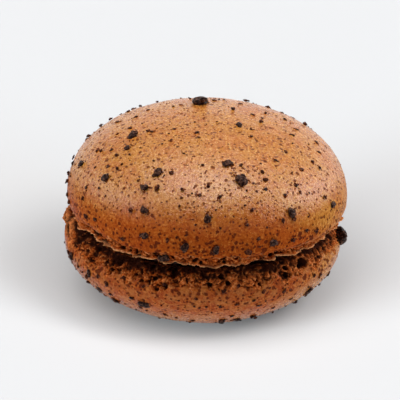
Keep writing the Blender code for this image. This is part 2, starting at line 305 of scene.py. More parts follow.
FLOOR_SHADE = 0.35  # grey, made pale by strong light: white shows more of the macaron's brown light
FLOOR_WIDTH = 8.0
ROOM_LIGHT = 0.03  # overhead and all round
SURROUND_LIGHT = 0.85  # of the pale surround, up to the horizon and a little over it
SURROUND_TOP = (0.04, 0.10)  # where it fades, as the upward part of a direction

# A soft light panel: degrees up over the -Y side, degrees round to +X, metres away, metres wide and
# high, watts
Panel = namedtuple("Panel", "up side distance width height power")
PANELS = {
    "backdrop": Panel(168, 0, 2.0, 7.0, 0.9, 16.5),
    "key": Panel(93, 0, 0.6, 0.34, 0.40, 3.5),
    "right": Panel(30, 105, 0.6, 0.4, 0.4, 2.7),
    "left": Panel(28, -90, 0.6, 0.3, 0.3, 1.5),
}

# A wash of sunlight over the floor: degrees up and round, degrees across, strength and colour. The low
# ones are cool, against the brown light that the macaron throws into their shadow.
Wash = namedtuple("Wash", "up side across strength tint")
WASHES = {
    "low_left": Wash(12, -45, 26, 6.2, (0.78, 0.92, 1.0)),
    "low_right": Wash(12, 45, 26, 2.4, (0.50, 0.80, 1.0)),
    "right": Wash(45, 45, 26, 2.27, (0.97, 0.985, 1.0)),
    "front": Wash(45, -15, 26, 1.28, (0.93, 0.97, 1.0)),
    "high": Wash(50, 0, 80, 5.60, (1.0, 0.925, 0.898)),
}
SUN_DISTANCE = 1.0  # any will do


# ======== the form of a shell


def between(low, high, value):
    """Where a value lies from low to high, as a share from 0 to 1."""
    return min(max((value - low) / (high - low), 0.0), 1.0)


def smooth(share):
    return share * share * (3 - 2 * share)


def bump(middle, half_width, value):
    """1 at the middle, easing to 0 at half a width from it."""
    return smooth(1 - between(0.0, half_width, abs(value - middle)))


def turn_between(bearing, other):
    """The angle from one bearing to another the short way round, in radians."""
    return (bearing - other + math.pi) % TURN - math.pi


def point_at(bearing, radius, height):
    return Vector((radius * math.cos(bearing), radius * math.sin(bearing), height))


def dome_point(shell, rise):
    """(radius, height) of the smooth dome at a rise above the widest ring, or of the foot below it."""
    if rise < 0:
        return shell.foot_radius, shell.radius * math.sin(rise)
    power = 2 / shell.fullness
    radius = shell.radius * max(math.cos(rise), 0.0) ** power
    height = shell.dome * max(math.sin(rise), 0.0) ** power
    return radius, min(height, shell.dome - shell.crown_cut)


def facing(shell, radius, height):
    """(outward, upward) parts of the direction that the smooth surface faces."""
    if height <= 0:
        return 1.0, 0.0
    steep = shell.fullness - 1
    outward = (radius / shell.radius) ** steep / shell.radius
    upward = (height / shell.dome) ** steep / shell.dome
    length = math.hypot(outward, upward)
    return outward / length, upward / length


def out_of_round(bearing, shell):
    """A shell's radius, as a share of the even one, at a bearing."""
    turn = shell.noise_place.x
    return 1 + OVAL * math.sin(2 * bearing + turn) + THREE_SIDED * math.sin(3 * bearing - turn)


def lip_shift(bearing, shell):
    """How far the foot's lip moves outwards and towards the crown at a bearing."""
    outward = 0.0
    upward = shell.lean * math.cos(bearing)
    for scale, share in LIP_WAVES:
        upward += share * shell.wave * noise.noise(point_at(bearing, scale, 0.0) + shell.noise_place)
    for swell in shell.swells:
        turn = turn_between(bearing, math.radians(swell.bearing))
        share = smooth(1 - between(0.0, math.radians(swell.spread), abs(turn)))
        outward += swell.outward * MM * share
        upward += swell.upward * MM * share
    return outward, upward


def past_skin(shell, band, depth):
    """How far a depth lies into a band of depths at the skin's edge, as a share from 0 to 1."""
    return between(band[0] * shell.skin_drop, band[1] * shell.skin_drop, depth)


def crag(point, shell):
    """How far the foot stands out in lumps at a point: nothing on the skin and the underside."""
    below_skin = past_skin(shell, LUMPS_START, -point.z)
    outside = between(shell.recess_radius, shell.lip_radius, math.hypot(point.x, point.y))
    lumps = noise.noise(point / LUMP_SIZE + shell.noise_place)
    knobs = noise.noise(point / KNOB_SIZE - shell.noise_place)
    return below_skin * outside * (LUMP_DEPTH * lumps + KNOB_DEPTH * knobs)


def shaped(point, shell):
    """Where a point of the evenly turned shell lies on the real one."""
    bearing = math.atan2(point.y, point.x)
    radius = math.hypot(point.x, point.y)
    outward, upward = lip_shift(bearing, shell)
    rim = between(shell.recess_radius, shell.lip_radius, radius)
    share = between(0.0, shell.foot_drop, -point.z) * rim * rim
    grown = radius * out_of_round(bearing, shell) + crag(point, shell) + outward * share
    return point_at(bearing, grown, point.z + upward * share)


def standing(shell):
    """From a shell's own frame to its place in the macaron."""
    return Matrix.LocRotScale(shell.place, shell.tilt, None)


# ======== modelling by hand


def deselect_all():
    bpy.ops.object.select_all(action="DESELECT")


def turned(name, rows, steps):
    """A closed form turned about Z: half its outline is drawn row by row from (radius, z) and spun."""
    deselect_all()
    radius, z = rows[0]
    bpy.ops.mesh.primitive_plane_add(size=MM, location=(0, 0, 0))
    piece = bpy.context.object
    piece.name = name
    piece.data.name = name
    bpy.ops.object.mode_set(mode="EDIT")
    bpy.ops.mesh.merge(type="CENTER")
    bpy.ops.transform.translate(value=(radius, 0, z))
    for next_radius, next_z in rows[1:]:
        step = (next_radius - radius, 0, next_z - z)
        bpy.ops.mesh.extrude_region_move(TRANSFORM_OT_translate={"value": step})
        radius, z = next_radius, next_z
    bpy.ops.object.mode_set(mode="OBJECT")
    screw = piece.modifiers.new("turn", "SCREW")
    screw.axis = "Z"
    screw.angle = TURN
    screw.steps = steps
    screw.render_steps = steps
    screw.use_merge_vertices = True
    screw.merge_threshold = WELD
    bpy.ops.object.modifier_apply(modifier=screw.name)
    bpy.ops.object.mode_set(mode="EDIT")
    bpy.ops.mesh.select_all(action="SELECT")
    bpy.ops.mesh.remove_doubles(threshold=WELD)
    bpy.ops.mesh.normals_make_consistent(inside=False)
    bpy.ops.object.mode_set(mode="OBJECT")
    bpy.ops.object.shade_smooth()
    return piece


def place_in_mesh(piece, matrix):
    """Moves a piece's mesh, with its object left at the origin."""
    piece.data.transform(matrix)
    piece.matrix_world = Matrix.Identity(4)


def hand_in(piece, finish, slot, *nodes):
    """Gives a finished piece its material, body and the solids it stands for. The slot it is handed is not
    used.
    """
    piece.data.materials.clear()
    piece.data.materials.append(finish)
    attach(piece, BODY)
    if nodes:
        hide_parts(*nodes)


# ======== baked shells


def steps_to_one(count):
    return [step / count for step in range(1, count + 1)]


def baked_rows(shell):
    """(radius, height) of the turned rows, from the crown over the skin's edge and the foot to the
    middle of the underside."""
    rows = [(0.0, shell.dome - shell.crown_cut)]
    rows += [dome_point(shell, math.pi / 2 * (1 - share)) for share in steps_to_one(DOME_ROWS)]
    edge_radius = 0.5 * (shell.radius + shell.foot_radius)
    for share in steps_to_one(SKIN_EDGE_ROWS):
        radius = shell.radius + (edge_radius - shell.radius) * share**SKIN_EDGE_CURVE
        rows.append((radius, -shell.skin_drop * share))
    foot_height = shell.foot_drop - shell.skin_drop
    for share in steps_to_one(WALL_ROWS):
        radius = shell.foot_radius + (shell.lip_radius - shell.foot_radius) * share**2
        rows.append((radius, -shell.skin_drop - foot_height * share))
    for share in steps_to_one(RECESS_ROWS):
        radius = shell.lip_radius + (shell.recess_radius - shell.lip_radius) * share
        rows.append((radius, -shell.foot_drop + shell.recess * share**2))
    floor = -shell.foot_drop + shell.recess
    return rows + [(0.5 * shell.recess_radius, floor), (0.0, floor)]


def pit(point, shell, foot):
    """How deep the burst bubble is at a point, from 0 to 1."""
    distances, middles = noise.voronoi(point / (foot.pit_size * MM) + shell.noise_place)
    widest = foot.pit_widest * noise.cell(middles[0] * PIT_DRAW)
    return math.sqrt(max(widest * widest - distances[0] ** 2, 0.0)) / foot.pit_widest


def curd(point, shell, foot):
    """How far a rounded curd stands out at a point: 1 in its middle, and below 0 between curds."""
    distances = noise.voronoi(point / (foot.curd_size * MM) - shell.noise_place)[0]
    return 1 - CURD_FALL * distances[0]


def hollow_depth(bearing, height, shell, hollows):
    """(how far in the hollows go, how much of a hollow's rim it is) at a place on the foot."""
    inward = 0.0
    rim = 0.0
    for hollow in hollows:
        across = turn_between(bearing, math.radians(hollow.bearing)) * shell.foot_radius
        along = height + hollow.drop * MM
        distance = math.hypot(across / (0.5 * hollow.width * MM), along / (0.5 * hollow.height * MM))
        inward = max(inward, hollow.depth * MM * math.sqrt(max(1 - distance**2, 0.0)))
        rim = max(rim, bump(*HOLLOW_RIM, distance))
    return inward, rim


def bulge_share(bearing, shell, foot):
    """How much of a bulge the foot has at a bearing: none where its lip stands out all round."""
    return between(*BULGE.shifts, lip_shift(bearing, shell)[0]) if foot.lip < 0 else 0.0


def foot_relief(even, bearing, bulging, shell, foot, hollows):
    """How far the foot's wall stands out at a point of the even one."""
    streaks = noise.noise(Vector((even.x, even.y, STREAK_LIE * even.z)) / STREAK_SIZE)
    fine = noise.fractal(even / (foot.fine_size * MM), *LAYERS)
    relief = foot.curd * (1 + BULGE.curd * bulging) * curd(even, shell, foot)
    relief += foot.streak * (1 + BULGE.streak * bulging) * streaks
    relief += foot.fine * (1 + BULGE.fine * bulging) * fine
    relief -= foot.pit * (1 + BULGE.pit * bulging) * pit(even, shell, foot) + BULGE.inward * bulging
    if foot.lip > 0:
        whole = between(*LIP_WHOLE, noise.noise(Vector((even.x, even.y, 0.0)) / BROKEN_LIP_SIZE))
        lip = bump(-shell.foot_drop, foot.lip_width * MM, even.z) * whole
        relief = (1 - LIP_SMOOTHING * lip) * relief + foot.lip * lip
    else:
        relief += foot.lip * (1 - bulging) * between(shell.skin_drop, shell.foot_drop, -even.z) ** 2
    inward, rim = hollow_depth(bearing, even.z, shell, hollows)
    return (1 - rim) * relief * MM + HOLLOW_RIM_HEIGHT * rim - inward


def painted_side_light(rightward):
    """Painted side light: how much nearer to the lit crown's colour the skin is, from -1, the left end, to 1,
    the right one.
    """
    most = RIGHT_SIDE_LIGHT if rightward > 0 else LEFT_SIDE_LIGHT
    return most * smooth(between(*SIDE_LIGHT_BAND, abs(rightward)))


def baked_relief(even, shell, foot, hollows):
    """(outward, upward, shares): how a point of the even shell moves in the baking, and its finish."""
    bearing = math.atan2(even.y, even.x)
    radius = math.hypot(even.x, even.y)
    around = Vector((even.x, even.y, 0.0)) / RAGGED_EDGE_SIZE
    ragged = foot.ragged * MM * noise.fractal(around + shell.noise_place, *LAYERS)
    foot_share = smooth(past_skin(shell, SKIN_TEARS, ragged - even.z))
    if radius < shell.recess_radius and even.z < 0:
        foot_share = 1.0
    crumbling = smooth(past_skin(shell, SKIN_CRUMBLES, ragged - even.z))
    slow = SKIN_SWELL * noise.noise(even / SKIN_SWELL_SIZE + shell.noise_place)
    pimple = PIMPLE * noise.noise(even / PIMPLE_SIZE)
    skin_out = (1 - foot_share) * (slow + pimple)
    face_out, face_up = facing(shell, radius, even.z)
    outward = skin_out * face_out
    upward = skin_out * face_up
    deep = 0.0
    tip = 0.0
    down = between(shell.skin_drop, shell.foot_drop, -even.z)
    inside = 1 - between(shell.recess_radius, shell.lip_radius, radius)
    wall = foot_share * (1 - inside)
    bulging = bulge_share(bearing, shell, foot)
    if wall > 0:
        relief = foot_relief(even, bearing, bulging, shell, foot, hollows)
        outward += wall * relief
        upward += wall * SAG_DEPTH * noise.noise(even / SAG_SIZE + shell.noise_place)
        # painted shade in the pits, darker the further the wall goes in
        deep = wall * between(0.0, FULL_PIT, -relief)
        # paler tips: partly their bake, partly painted light where crests catch it
        tip = wall * between(*PALE_AND_LIT_TIPS, relief)
    rolled = ROLLED_UNDER * bulging
    shade = smooth(between(rolled, rolled + SHADE_BREADTH, inside))
    rise = between(0.0, shell.dome, even.z)
    upper = shell.up > 0
    # painted highlight along the upper lip; the torn skin edge beside it is only paler
    lip = wall * bump(-shell.foot_drop, LIP_HALF_WIDTH, even.z)
    torn = SKIN_EDGE_PALE * bump(0.5, 0.5, foot_share) * (1 - deep)
    shares = {
        "foot_share": UPPER_OPEN_CRUMB * foot_share if upper else 0.5 * foot_share + 0.5 * crumbling,
        "pit_shade_share": deep,
        "pale_and_lit_tip_share": max(tip, BULGE_PALE_AND_LIT * bulging * wall * (1 - deep)),
        "sheen_share": (1 - foot_share) * (smooth(between(*UPPER_SHEEN, rise)) if upper else LOWER_SHEEN),
        "shaded_share": shade if upper else max(down**SHADE_CURVE * (1 - bulging), shade),
        "lip_highlight_and_pale_edge_share": max(lip, torn) if upper else 0.0,
        # rise_share places the painted shade low on the dome and the painted light at the left and right ends
        "rise_share": (rise if upper else LOWER_TONE * rise) + painted_side_light(even.x / shell.radius),
        "pitted_share": 1 - between(-shell.skin_drop, PITTED_SKIN, even.z),
        "golden_share": UPPER_GOLD * rise if upper else LOWER_GOLD,
        "edge_share": UPPER_EDGE_SHEEN if upper else LOWER_EDGE_SHEEN,
    }
    return outward, upward, shares


def baked_shell(shell, foot, hollows):
    rows = [(radius, shell.up * height) for radius, height in baked_rows(shell)]
    piece = turned(shell.name + "_baked", rows, TURN_STEPS)
    kept = []
    for vertex in piece.data.vertices:
        even = Vector((vertex.co.x, vertex.co.y, shell.up * vertex.co.z))
        outward, upward, shares = baked_relief(even, shell, foot, hollows)
        real = shaped(even, shell)
        across = Vector((real.x, real.y))
        if across.length > 0:
            real.x += outward * real.x / across.length
            real.y += outward * real.y / across.length
        real.z += upward
        if shell.crown_cut:
            real.z = min(real.z, shell.dome - shell.crown_cut)
        vertex.co = (real.x, real.y, shell.up * real.z)
        kept.append(shares)
    for name in kept[0]:
        attribute = piece.data.attributes.new(name, "FLOAT", "POINT")
        attribute.data.foreach_set("value", [shares[name] for shares in kept])
    place_in_mesh(piece, standing(shell))
    return piece


# ======== ganache


def ganache_layer():
    """The filling, level on the lower shell and leaning with the upper shell on top."""
    floor = LOWER.place.z + LOWER.foot_drop - LOWER.recess + CONTACT_GAP
    ceiling = UPPER.place.z - UPPER.foot_drop + UPPER.recess - CONTACT_GAP
    half = 0.5 * (ceiling - floor)
    rows = [(0.0, half), (FILLING_FLAT * FILLING_EDGE_RADIUS, half)]
    for i in range(FILLING_SIDE_ROWS + 1):
        angle = math.pi / 2 - math.pi * i / FILLING_SIDE_ROWS
        bulge = (FILLING_RADIUS - FILLING_EDGE_RADIUS) * math.cos(angle)
        rows.append((FILLING_EDGE_RADIUS + bulge, half * math.sin(angle)))
    rows += [(FILLING_FLAT * FILLING_EDGE_RADIUS, -half), (0.0, -half)]
    piece = turned("ganache_layer", rows, FILLING_STEPS)
    for vertex in piece.data.vertices:
        radius = math.hypot(vertex.co.x, vertex.co.y)
        edge = between(FILLING_UNEVEN * FILLING_EDGE_RADIUS, FILLING_RADIUS, radius)
        swell = sum(height * noise.noise(vertex.co / size) for height, size in FILLING_SWELLS)
        grown = 1 + swell * edge / FILLING_RADIUS
        level = Vector((vertex.co.x * grown, vertex.co.y * grown, vertex.co.z))
        leaning = level.copy()
        leaning.rotate(UPPER.tilt)
        vertex.co = level.lerp(leaning, between(-half, half, level.z))
    middle = Vector((0.5 * (UPPER.place.x + LOWER.place.x), 0.0, 0.5 * (ceiling + floor)))
    place_in_mesh(piece, Matrix.Translation(middle))
    return piece


# ======== crumbs


def on_dome(shell, bearing, rise):
    """(point, outward direction) on a shell's dome, in the shell's own frame."""
    radius, height = dome_point(shell, rise)
    real = shaped(point_at(bearing, radius, height), shell)
    outward, upward = facing(shell, radius, height)
    return Vector((real.x, real.y, shell.up * real.z)), point_at(bearing, outward, shell.up * upward)


def rise_share(shell, rise):
    """How much of the dome lies at a rise: a band of it grows with its radius and its breadth."""
    step = 0.01
    radius, height = dome_point(shell, rise)
    next_radius, next_height = dome_point(shell, rise + step)
    breadth = math.hypot(next_radius - radius, next_height - height) / step
    return radius * breadth / shell.radius**2


def scattered(shell, kind, index, rng, taken, gathered=0.0):
    """(point, direction, width, thicker) of crumbs spread over the dome, evenly or gathered in drifts,
    clear of the ones already there."""
    found = []
    while len(found) < kind.counts[index]:
        bearing = rng.uniform(0, TURN)
        rise = rng.uniform(*CRUMB_RISES)
        width = rng.uniform(*kind.widths) * MM
        point, direction = on_dome(shell, bearing, rise)
        drifts = noise.noise(point / DRIFT_SIZE + shell.noise_place)
        drift = 1 + gathered * (drifts - LEFTWARD * math.cos(bearing))
        if point.z < -CRUMB_REACH or rng.random() > drift * rise_share(shell, rise):
            continue
        if all((point - other).length > kind.room for other in taken):
            taken.append(point)
            found.append((point, direction, width, 1.0))
    return found


def placed(shell, crumbs, broad=1.0):
    """(point, direction, width, thicker) of crumbs at their own places. A thick one isn't made broad."""
    spots = []
    for crumb in crumbs:
        point, direction = on_dome(shell, math.radians(crumb.bearing), math.radians(crumb.rise))
        width = crumb.width * MM * (1.0 if crumb.thicker > 1 else broad)
        spots.append((point, direction, width, crumb.thicker))
    return spots


def dust_round(spots, rng):
    """Specks that broke off the large crumbs and lie close round them."""
    found = []
    for point, direction, width, _ in spots:
        for _ in range(DUST_COUNT):
            sideways = direction.cross(Vector((rng.uniform(-1, 1), rng.uniform(-1, 1), rng.uniform(-1, 1))))
            reach = (DUST_NEAREST + DUST_SPREAD * rng.random() ** DUST_CLOSENESS) * width
            size = rng.uniform(*DUST_WIDTHS) * MM
            found.append((point + reach * sideways.normalized(), direction, size, 1.0))
    return found


def grown_scrap(name, kind, seed):
    """An angular scrap 1 across, lying flat round the origin: small lumps grown into one."""
    rng = random.Random(seed)
    deselect_all()
    parts = []
    for i in range(kind.lumps):
        bearing = rng.uniform(0, TURN)
        reach = 0.0 if i == 0 else rng.uniform(*SCRAP_REACH)
        size = rng.uniform(*(SCRAP_CORES if i == 0 else SCRAP_LUMPS))
        place = point_at(bearing, reach, rng.uniform(*SCRAP_HEIGHTS))
        bpy.ops.mesh.primitive_ico_sphere_add(subdivisions=2, radius=0.5 * size, location=place)
        lump = bpy.context.object
        for vertex in lump.data.vertices:
            vertex.co *= rng.uniform(*SCRAP_CORNERS)
        parts.append(lump)
    for part in parts:
        part.select_set(True)
    bpy.ops.object.join()
    piece = bpy.context.object
    piece.name = name
    bpy.ops.object.transform_apply(location=True, rotation=True, scale=True)
    together = piece.modifiers.new("grow_together", "REMESH")
    together.mode = "VOXEL"
    together.voxel_size = SCRAP_VOXEL
    bpy.ops.object.modifier_apply(modifier=together.name)
    fewer = piece.modifiers.new("break_into_facets", "DECIMATE")
    fewer.ratio = kind.triangles / (2 * len(piece.data.polygons))
    bpy.ops.object.modifier_apply(modifier=fewer.name)
    flatness = rng.uniform(*CRUMB_FLATNESS)
    length = rng.uniform(*SCRAP_LENGTHS)
    widest = max(piece.dimensions.x, piece.dimensions.y)
    piece.data.transform(Matrix.Diagonal((length / widest, 1 / length / widest, flatness / widest, 1)))
    return piece


def lying(shell, point, direction, width, thicker, sunk, rng):
    """Where a crumb of a width lies on a shell, turned at random and partly sunk in."""
    lie = direction.to_track_quat("Z", "Y").to_matrix().to_4x4()
    spin = Matrix.Rotation(rng.uniform(0, TURN), 4, "Z")
    rock = Matrix.Rotation(rng.uniform(-CRUMB_ROCKED, CRUMB_ROCKED), 4, "X")
    thickness = width * thicker * sum(CRUMB_FLATNESS) / 2
    lift = Matrix.Translation((0, 0, thickness * (0.5 - sunk)))
    size = Matrix.Diagonal((width, width, width * thicker, 1))
    return standing(shell) @ Matrix.Translation(point) @ lie @ lift @ spin @ rock @ size


def lay(places, name, shell, spots, rng):
    places[name] += [lying(shell, *spot, KINDS[name].sunk, rng) for spot in spots]


def joined(name, forms, places):
    """One piece of many copies of a few forms, at their places."""
    deselect_all()
    copies = []
    for i, place in enumerate(places):
        copy = forms[i * FORM_STEP % len(forms)].copy()
        copy.data = copy.data.copy()
        copy.name = f"{name}_{i}"
        copy.data.transform(place)
        bpy.context.scene.collection.objects.link(copy)
        copy.select_set(True)
        copies.append(copy)
    bpy.context.view_layer.objects.active = copies[0]
    bpy.ops.object.join()
    piece = bpy.context.object
    piece.name = name
    piece.data.name = name
    return piece


def crumbs_everywhere():
    """The cocoa on both shells, one piece for each kind: the crumbs of the solids, grains and specks."""
    rng = random.Random(GRAIN_SEED)
    upper = (UPPER, UPPER_LARGE_CRUMBS, UPPER_GRAINS, UPPER_SEED)
    lower = (LOWER, LOWER_LARGE_CRUMBS, LOWER_GRAINS, LOWER_SEED)
    places = {name: [] for name in KINDS}
    for index, (shell, large, small, seed) in enumerate((upper, lower)):
        solid_rng = random.Random(seed)
        spots = placed(shell, large, BROAD)
        taken = [point for point, _, _, _ in spots]
        small_crumbs = scattered(shell, KINDS["cocoa_crumbs"], index, solid_rng, taken)
        spots += [(point, direction, SHRUNK * width, 1.0) for point, direction, width, _ in small_crumbs]
        lay(places, "cocoa_crumbs", shell, spots, solid_rng)
        grains = placed(shell, small)
        taken += [point for point, _, _, _ in grains]
        grains += scattered(shell, KINDS["cocoa_grains"], index, rng, taken, GATHERED)
        lay(places, "cocoa_grains", shell, grains, rng)
        specks = dust_round(spots, rng)
        specks += scattered(shell, KINDS["cocoa_specks"], index, rng, taken, GATHERED)
        lay(places, "cocoa_specks", shell, specks, rng)
    for name, kind in KINDS.items():
        forms = [grown_scrap(f"{name}_form_{i}", kind, kind.seed + i) for i in range(kind.forms)]
        piece = joined(name, forms, places[name])
        hand_in(piece, dark_finish(name, COCOA), "cocoa_crumb")
        for form in forms:
            bpy.data.objects.remove(form)


# ======== finishes

# The tones of one baked colour, from its darkest mottling to its lightest, and the redder one that
# patches of it have
Tones = namedtuple("Tones", "deep middle light russet")
# The skin's tones in two copies: the crown's as lit, and the rim's darker and redder as painted shade low on
# the dome
LIT_CROWN = Tones((0.27, 0.064, 0.006), (0.462, 0.177, 0.026), (0.62, 0.32, 0.080), (0.43, 0.114, 0.014))
SHADED_RIM = Tones((0.24, 0.036, 0.003), (0.405, 0.080, 0.007), (0.58, 0.178, 0.026), (0.355, 0.054, 0.005))
GOLDEN = (0.55, 0.215, 0.050)
SPOT = (0.085, 0.011, 0.003)
# the open crumb's pale tone, also painted light on the foot's tips
FOOT_PALE_AND_LIT = (0.84, 0.30, 0.090)
# the dark of the foot's holes and flecks, also the painted shade in its pits and under the upper shell
FOOT_PIT_AND_SHADE = (0.030, 0.006, 0.002)
# a painted highlight along the upper lip, and the paler tone of the torn skin edge
LIP_HIGHLIGHT_AND_PALE_EDGE = (0.97, 0.47, 0.20)

# The unevenness of a surface: how large its lumps are, in millimetres, and the settings of its noise
Texture = namedtuple("Texture", "size detail roughness distortion", defaults=[2.0, 0.5, 0.0])
PATCHES = Texture(4.5)
MOTTLE = Texture(1.4, 3.0, 0.6, 0.4)
LEATHER = Texture(0.42, 3.0, 0.7, 0.3)
FINE = Texture(0.2)
GOLD = Texture(1.5, 3.0, 0.65, 0.3)
OPEN_CRUMB = Texture(0.46, 3.0, 0.7, 0.5)
FLECKS = Texture(1.0, 3.0, 0.7)

# How a tone comes up over another one: from where in a texture or a share it shows, from where it
# shows in full, and how much it covers there
Cover = namedtuple("Cover", "start full most", defaults=[1.0])
RUSSET_COVER = Cover(0.42, 0.60, 0.8)
DEEP_COVER = Cover(0.48, 0.38, 0.9)
LIGHT_COVER = Cover(0.50, 0.66, 0.9)
LIGHT_BY_MOTTLE = 0.3  # how much the mottle places the light tone, next to the leather
# where the lit crown's tones take over from the rim's painted shade, up the dome
LIT_CROWN_COVER = Cover(0.21, 0.67)
GOLDEN_BAND = (0.42, 0.62)
FLECK_COVER = Cover(0.54, 0.63, 0.5)
FOOT_PIT_SHADE_COVER = Cover(0.15, 0.85)
PIT_SHADE_COVER = Cover(0.1, 0.7, 0.9)
PALE_AND_LIT_TIPS_MOST = 0.7  # how much a tone covers at most that follows a share as it is
SHADE_MOST = 0.5
LIP_AND_EDGE_MOST = 0.75
SPOTS_MOST = 0.85

# The open crumb's tones over its dark holes, each over the one before
FOOT_TONES = [
    (Cover(0.33, 0.46), (0.28, 0.040, 0.004)),
    (Cover(0.42, 0.52), (0.58, 0.120, 0.015)),
    (Cover(0.54, 0.62), FOOT_PALE_AND_LIT),
]

# A kind of burst spot in the skin: the size of the cells that it may lie in, in millimetres, its width
# as a share of that, and the share of the cells that have none
Spots = namedtuple("Spots", "cell width few")
BURST_SPOTS = [Spots(0.62, 0.37, 0.53), Spots(1.2, 0.28, 0.50), Spots(2.4, 0.16, 0.55)]
SPOT_EDGE = (0.45, 1.1)  # in widths of the spot
SPOT_FRAYED = 0.2  # how much the leathery texture frays its edge
SPOTS_WIDER = 0.08  # how much wider the spots are towards the foot
SPOTS_MORE = 0.16  # and how many more there are
SPOTS_FADE = 0.04  # over how much of that share spots come up
SPOT_FULL = 0.9  # where spots that overlap are all dark

SKIN_ROUGHNESS = (0.09, 0.3)  # the least, and what its texture adds
SKIN_GLOSS = 0.6
MATT_ROUGHNESS = 0.8
MATT_GLOSS = 0.05
SKIN_BUMP = 0.17 * MM
LEATHER_HEIGHT = 0.7  # shares of that depth
FINE_HEIGHT = 0.3
SPOT_DEPTH = 0.25
CRUMB_HEIGHT = 1.4
ASLANT = (0.44, 0.90)  # where the edge sheen grows, from 0, facing the eye, to 1, edge on

# A dark surface: its texture, how its light tone comes up over the dark one, its roughness, and how
# deep its bump is
Dark = namedtuple("Dark", "texture cover roughness bump")
GANACHE = Dark(Texture(0.8, 3.0, 0.6), Cover(0.35, 0.65), (0.35, 0.4), 0.3 * MM)
COCOA = Dark(Texture(0.40, 3.0, 0.65), Cover(0.46, 0.68), (0.10, 0.5), 0.16 * MM)

# The dark tone, the light tone and the specular level of each piece with such a surface
Tint = namedtuple("Tint", "dark light gloss")
TINTS = {
    "ganache_layer": Tint((0.014, 0.005, 0.003), (0.045, 0.015, 0.008), 0.22),
    "cocoa_crumbs": Tint((0.014, 0.004, 0.0025), (0.14, 0.060, 0.036), 0.07),
    "cocoa_grains": Tint((0.028, 0.006, 0.003), (0.17, 0.050, 0.022), 0.03),
    "cocoa_specks": Tint((0.085, 0.014, 0.004), (0.26, 0.060, 0.016), 0.01),
}
FLOOR_ROUGHNESS = 0.85
FLOOR_GLOSS = 0.2


class Amount:
    """A number that varies over a surface. Sums on it add Math nodes."""

    def __init__(self, finish, socket):
        self.finish = finish
        self.socket = socket

    def __add__(self, other):
        return self.finish.maths("ADD", self, other)

    def __sub__(self, other):
        return self.finish.maths("SUBTRACT", self, other)

    def __rsub__(self, other):
        return self.finish.maths("SUBTRACT", other, self)

    def __mul__(self, other):
        return self.finish.maths("MULTIPLY", self, other)

    __radd__ = __add__
    __rmul__ = __mul__


class Finish:
    """The nodes of one surface finish, or of the sky, round its own shader node."""

    def __init__(self, holder, shader="Principled BSDF"):
        holder.use_nodes = True
        self.holder = holder
        self.tree = holder.node_tree
        self.shader = self.tree.nodes[shader]

    def feed(self, socket, value):
        if isinstance(value, Amount):
            value = value.socket
        if isinstance(value, bpy.types.NodeSocket):
            self.tree.links.new(value, socket)
        elif isinstance(value, tuple):
            socket.default_value = (*value, 1.0)
        else:
            socket.default_value = value

    def node(self, kind, settings, inputs):
        """Adds a node: its settings go in first, and then the values and links of its sockets."""
        made = self.tree.nodes.new("ShaderNode" + kind)
        for name, value in settings.items():
            setattr(made, name, value)
        for key, value in inputs.items():
            self.feed(made.inputs[key], value)
        return made

    def set(self, name, value):
        self.feed(self.shader.inputs[name], value)

    def amount(self, kind, settings, inputs, output=0):
        return Amount(self, self.node(kind, settings, inputs).outputs[output])

    def maths(self, operation, first, second):
        return self.amount("Math", {"operation": operation}, {0: first, 1: second})

    def place(self):
        """Where a point of the piece is, in millimetres."""
        coordinates = self.node("TexCoord", {}, {})
        scale = {"operation": "SCALE"}
        made = self.node("VectorMath", scale, {0: coordinates.outputs["Object"], "Scale": 1 / MM})
        return made.outputs[0]

    def attribute(self, name):
        return self.amount("Attribute", {"attribute_name": name}, {}, "Fac")

    def seen_aslant(self):
        """How far the surface turns away from the eye, from 0 to 1."""
        return self.amount("LayerWeight", {}, {}, "Facing")

    def texture(self, place, texture):
        """Noise from 0 to 1."""
        inputs = {"Vector": place, "Scale": 1 / texture.size, "Detail": texture.detail}
        inputs |= {"Roughness": texture.roughness, "Distortion": texture.distortion}
        return self.amount("TexNoise", {}, inputs, "Fac")

    def cells(self, place, size, output):
        return self.amount("TexVoronoi", {}, {"Vector": place, "Scale": 1 / size}, output)

    def ease(self, low, high, amount):
        """An amount from low to high made a smooth share from 0 to 1."""
        span = {"Value": amount, "From Min": low, "From Max": high, "To Min": 0.0, "To Max": 1.0}
        return self.amount("MapRange", {"interpolation_type": "SMOOTHSTEP"}, span, "Result")

    def blend(self, share, colour, other):
        """A colour that goes to another one by a share."""
        return self.node("Mix", {"data_type": "RGBA"}, {"Factor": share, 6: colour, 7: other}).outputs[2]

    def cover(self, cover, amount, colour, other):
        """A colour with another one over it where an amount brings that up."""
        share = self.ease(cover.start, cover.full, amount)
        return self.blend(share * cover.most if cover.most < 1 else share, colour, other)

    def bump(self, height, depth):
        """The normals of a surface with a height from 0 to 1 that stands as high as a depth."""
        made = self.node("Bump", {}, {"Height": height, "Distance": depth, "Strength": 1.0})
        return made.outputs["Normal"]

    def shine(self, roughness, texture, gloss):
        least, added = roughness
        self.set("Roughness", texture * added + least)
        self.set("Specular IOR Level", gloss)


def skin_colour(finish, patches, mottle, leather, tones):
    """Fine mottling from the deep to the light tone, over patches of the russet one."""
    colour = finish.cover(RUSSET_COVER, patches * 0.5 + mottle * 0.5, tones.middle, tones.russet)
    colour = finish.cover(DEEP_COVER, leather, colour, tones.deep)
    light = mottle * LIGHT_BY_MOTTLE + leather * (1 - LIGHT_BY_MOTTLE)
    return finish.cover(LIGHT_COVER, light, colour, tones.light)


def burst_spots(finish, place, pitted, leather):
    """Small dark spots in the skin with uneven edges, more and wider ones towards the foot."""
    spots = 0.0
    for kind in BURST_SPOTS:
        near = finish.cells(place, kind.cell, "Distance") + leather * SPOT_FRAYED - pitted * SPOTS_WIDER
        chance = finish.cells(place, kind.cell, "Color") + pitted * SPOTS_MORE
        dark, clear = (share * kind.width + 0.5 * SPOT_FRAYED for share in SPOT_EDGE)
        there = finish.ease(kind.few, kind.few + SPOTS_FADE, chance)
        spots = spots + (1.0 - finish.ease(dark, clear, near)) * there
    return finish.ease(0.0, SPOT_FULL, spots)


